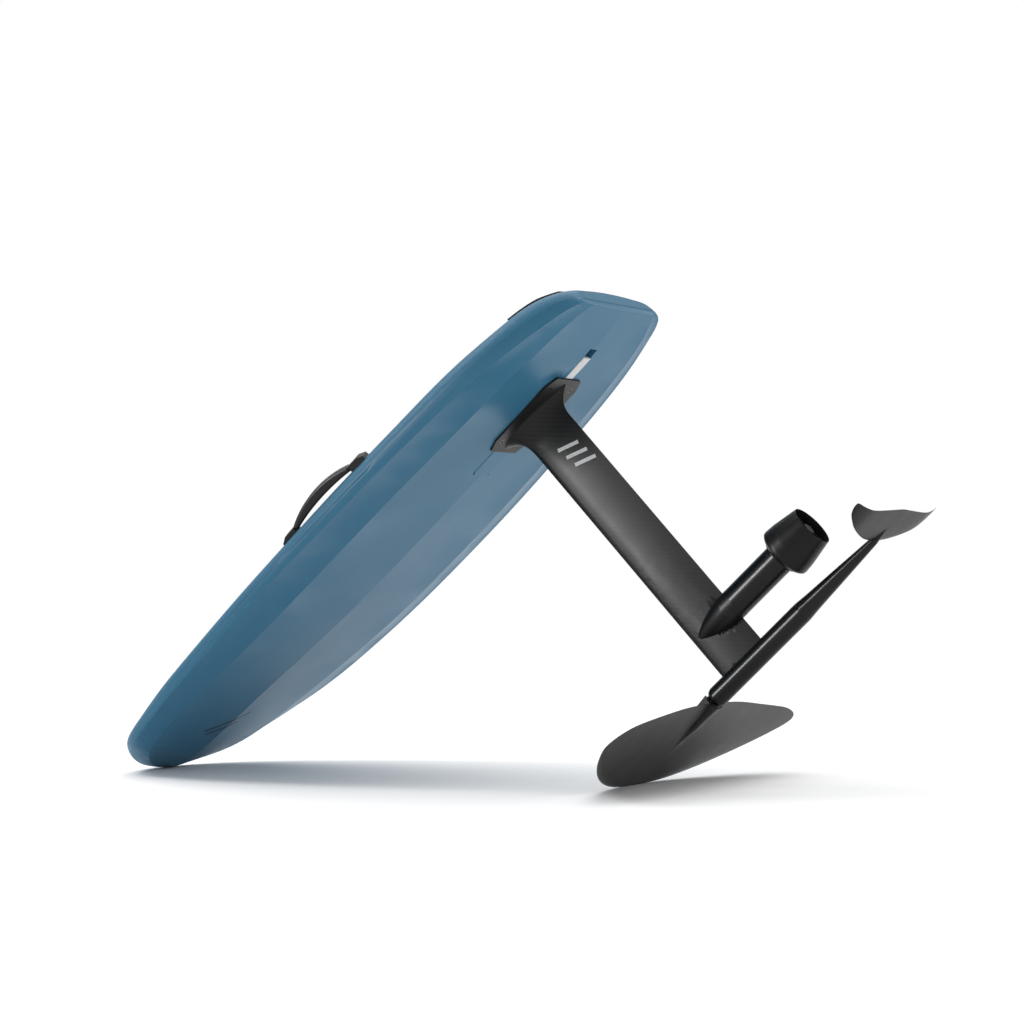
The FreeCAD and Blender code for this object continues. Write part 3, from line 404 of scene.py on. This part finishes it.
# ---- Mast ----
# A carbon fibre blade with a streamlined section, moulded in one with the flared root that bolts to the
# plate. Its 2-by-2 twill shows through the satin clear coat, with three bars printed on it, and the power
# cable runs down inside it.
def twill(material, first, second, one, two, tow):
    """Two-by-two twill of a given tow width across two of the board's axes, under a satin coat."""
    repeat, on_top = 4, 1.5
    split = node(material, "SeparateXYZ")
    link(material, axes(material, (1 / tow,) * 3), split.inputs["Vector"])
    steps = []
    for axis in (one, two):
        step = node(material, "Math", operation="FLOOR")
        link(material, split.outputs[axis], step.inputs[0])
        steps.append(step.outputs[0])
    total = node(material, "Math", operation="ADD")
    link(material, steps[0], total.inputs[0])
    link(material, steps[1], total.inputs[1])
    turn = node(material, "Math", operation="FLOORED_MODULO")
    turn.inputs[1].default_value = repeat
    link(material, total.outputs[0], turn.inputs[0])
    over = node(material, "Math", operation="LESS_THAN")
    over.inputs[1].default_value = on_top
    link(material, turn.outputs[0], over.inputs[0])
    mottle(material, over.outputs[0], first, second)
    grain(material, over.outputs[0], 0.00006, 0.25)
    wear(material, noise(material, 18, 3), 0.33, 0.37)


mast_weave = finish("mast_twill", (0.008, 0.008, 0.008), 0.35, specular=0.2)
twill(mast_weave, (0.007, 0.007, 0.007), (0.010, 0.010, 0.010), "X", "Z", 0.003)
mast_skin = welded("mast_skin", "mast_blade")
silver = finish("silver_film", (0.55, 0.55, 0.55), 0.4)
mottle(silver, noise(silver, 80, 3), (0.50, 0.50, 0.50), (0.60, 0.60, 0.60))
bar_size, bar_slant = (0.044, 0.007), math.radians(-20)
bar_spots = [(0.012 + 0.004 * i, -0.04, -0.100 - 0.022 * i) for i in range(3)]
bars = [laid_bar("mast_bar_%d" % (i + 1), mast_skin, bar_spots[i], bar_size, 1, bar_slant) for i in range(3)]
fix(mast_skin, mast_weave, "root", ["mast_blade"], crisp=28)
for bar in bars:
    fix(bar, silver, "root", [], even=False)
fix(welded("motor_lead", "power_cable"), rubber, "root", ["power_cable"])

# ---- Motor pod ----
# Two carbon half shells form the pointed nose round the mast. Behind their seam the motor sits in a black
# anodised tube, with its stator, rotor, bearings, shaft and seal inside.
pod_weave = finish("pod_twill", (0.006, 0.006, 0.006), 0.35, specular=0.2)
twill(pod_weave, (0.005, 0.005, 0.005), (0.007, 0.007, 0.007), "X", "Z", 0.003)
for side in ("left", "right"):
    fix(welded(side + "_pod_half", "pod_fairing_" + side), pod_weave, "root", ["pod_fairing_" + side])
glossy = finish("polished_anodised", (0.006, 0.006, 0.006), 0.25, specular=0.2)
mottle(glossy, noise(glossy, 90, 3), (0.005, 0.005, 0.005), (0.008, 0.008, 0.008))
wear(glossy, noise(glossy, 60, 2, (1, 6, 6)), 0.22, 0.25)
rounded("motor_tube", "motor_housing", 0.0003, glossy)
for name, cad, material, body in (
        ("windings", "motor_stator", brass, "root"), ("magnet_drum", "motor_rotor", steel, "rotor"),
        ("inner_cap", "motor_end_cap", anodised, "root"), ("bearing_one", "front_bearing", steel, "root"),
        ("bearing_two", "rear_bearing", steel, "root"), ("lip_seal", "shaft_seal", rubber, "root"),
        ("output_shaft", "drive_shaft", steel, "rotor")):
    rounded(name, cad, 0.0003, material, body)

# ---- Ducted propeller ----
# A three-bladed moulded propeller runs inside a barrel-shaped duct, with four struts at the intake and
# five flow-straightening vanes at the outlet. A collar and three small screws hold the duct on the tube.
nylon = finish("moulded_nylon", (0.007, 0.007, 0.007), 0.36, specular=0.15)
mottle(nylon, noise(nylon, 80, 3), (0.006, 0.006, 0.006), (0.009, 0.009, 0.009))
wear(nylon, noise(nylon, 120, 4), 0.32, 0.42)
grain(nylon, noise(nylon, 1200, 2), 0.0001, 0.2)
for name, cad, material, body, edge in (
        ("screw_blades", "propeller", nylon, "rotor", 0.0003),
        ("blade_nut", "propeller_nut", steel, "rotor", 0.0004),
        ("duct_barrel", "duct_shroud", nylon, "root", 0.0004),
        ("duct_ring", "duct_collar", anodised, "root", 0.0004),
        ("intake_fins", "duct_struts", nylon, "root", 0.0002),
        ("outlet_fins", "outlet_vanes", nylon, "root", 0.0003),
        ("tube_screws", "housing_screws", blackened, "root", 0.0002)):
    rounded(name, cad, edge, material, body)

# ---- Fuselage ----
# A turned alloy tube, anodised black, takes the mast's foot from above and the front wing from below; a
# long tapered boom screws into its rear end and carries the tail wing.
rounded("fuselage_tube", "fuselage", 0.0003, glossy)
fix(welded("boom_cone", "tail_boom"), glossy, "root", ["tail_boom"], crisp=40)
for name, cad, material in (
        ("mast_foot_screws", "mast_bolts", blackened), ("wing_screws", "front_wing_bolts", blackened),
        ("tail_screws", "tail_wing_bolts", blackened), ("joint_tongue", "wing_tongue", steel)):
    rounded(name, cad, 0.0002, material)

# ---- Wings ----
# Carbon fibre wings pressed in a mould under a satin clear coat: a broad front wing with a spine that
# the fuselage beds into, and a small tail wing with turned-up tips, its carbon darkened as painted shade.
wing_weave = finish("wing_twill", (0.016, 0.016, 0.016), 0.35, specular=0.2)
twill(wing_weave, (0.014, 0.014, 0.014), (0.018, 0.018, 0.018), "X", "Y", 0.003)
fix(welded("front_foil", "front_wing"), wing_weave, "root", ["front_wing"], crisp=28)
# Painted shade: the tail wing is the same carbon as the front wing, with its colours set darker to stand in
# for shade.
tail_shaded_weave = finish("tail_twill_painted_shade", (0.008, 0.008, 0.008), 0.35, specular=0.06)
twill(tail_shaded_weave, (0.007, 0.007, 0.007), (0.010, 0.010, 0.010), "X", "Y", 0.003)
fix(welded("tail_foil", "tail_wing"), tail_shaded_weave, "root", ["tail_wing"], crisp=28)

# ---- Floor, light and camera ----
# A wide pale studio floor in a pale room, with one large soft light overhead, a strip on the left that
# only draws the highlights on the shiny pieces, and two weak strips, one high and one behind the craft.
deselect()
bpy.ops.mesh.primitive_plane_add(size=60, location=(0, 0, 0))
floor = bpy.context.object
floor.name = "studio_floor"
paper = finish("studio_paper", (0.93, 0.93, 0.93), 0.9)
floor.data.materials.append(paper)
floor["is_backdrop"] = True


def lamp(name, spot, target, width, height, power):
    """A flat lamp at a spot, turned to its target; returns it."""
    light = bpy.data.lights.new(name, "AREA")
    light.shape, light.size, light.size_y, light.energy = "RECTANGLE", width, height, power
    made = bpy.data.objects.new(name, light)
    scene.collection.objects.link(made)
    made.location = spot
    made.rotation_euler = (Vector(target) - Vector(spot)).to_track_quat("-Z", "Y").to_euler()
    return made


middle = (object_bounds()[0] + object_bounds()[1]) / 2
sky = bpy.data.lights.new("overhead_sky", "SUN")
sky.energy, sky.angle = 1.9, math.radians(80)
overhead = bpy.data.objects.new("overhead_sky", sky)
scene.collection.objects.link(overhead)
overhead.rotation_euler = (math.radians(-16), math.radians(-8), 0)
highlights = lamp("left_strip", (-1.4, -2.9, 0.85), (0.25, 0.0, 0.45), width=0.20, height=1.6, power=110)
highlights.visible_diffuse = False
lamp("high_strip", (-2.6, -0.9, 3.0), middle, width=0.6, height=2.4, power=40)
lamp("rear_strip", (2.8, 2.4, 1.8), middle, width=0.5, height=2.4, power=30)

room = bpy.data.worlds.new("pale_room")
room.use_nodes = True
scene.world = room
air = room.node_tree.nodes["Background"]
air.inputs["Color"].default_value = (1, 1, 1, 1)
air.inputs["Strength"].default_value = 0.52
bright = node(room, "Background")
bright.inputs["Strength"].default_value = 1.0
bright.inputs["Color"].default_value = (1, 1, 1, 1)
seen, choice = node(room, "LightPath"), node(room, "MixShader")
link(room, seen.outputs["Is Camera Ray"], choice.inputs[0])
link(room, air.outputs[0], choice.inputs[1])
link(room, bright.outputs[0], choice.inputs[2])
link(room, choice.outputs[0], room.node_tree.nodes["World Output"].inputs[0])

view = bpy.data.cameras.new("studio_camera")
view.lens, view.sensor_width, view.clip_end = 95.0, 36.0, 100
camera = bpy.data.objects.new("studio_camera", view)
scene.collection.objects.link(camera)
spot, turn = Vector((1.5605, -4.4931, -1.8258)), [math.radians(angle) for angle in (114.911, 36.942, 36.553)]
camera.matrix_world = lie @ Matrix.LocRotScale(spot, Euler(turn), None)
scene.camera = camera
scene.view_settings.view_transform = "Standard"
